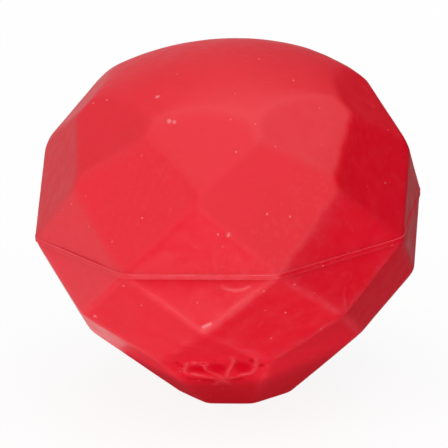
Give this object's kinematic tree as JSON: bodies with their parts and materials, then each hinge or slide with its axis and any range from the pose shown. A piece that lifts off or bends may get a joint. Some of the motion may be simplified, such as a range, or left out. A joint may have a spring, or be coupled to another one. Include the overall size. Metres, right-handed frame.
{
  "type": "friction ball case opener",
  "caption": "Palm-sized solid rubber ball with flat gem-like facets, a shallow domed gripping face and a small flat foot, pressed and twisted by hand to unscrew watch case backs.",
  "frame": {"origin": "centre of the flat octagonal foot, the lowest point of the ball when it stands", "axes": "+Z along the ball's axis from the foot to the domed working face; corners of the widest octagon lie on +X, -X, +Y and -Y, and the creased plug is in the base facet between -X and -Y"},
  "size_m": [0.0656, 0.0656, 0.0578],
  "materials": {
    "crown_rubber": "satin, tacky, lightly dusted red rubber",
    "base_rubber": "satin, tacky, lightly dusted red rubber",
    "seam_rubber": "raised parting band of the same red rubber, paler along its edges",
    "plug_rubber": "the same red rubber, creased and uneven where it closed"
  },
  "bodies": {
    "root": {"upper_half": "crown_rubber", "lower_half": "base_rubber", "seam_band": "seam_rubber", "gate_plug": "plug_rubber"}
  },
  "joints": []
}
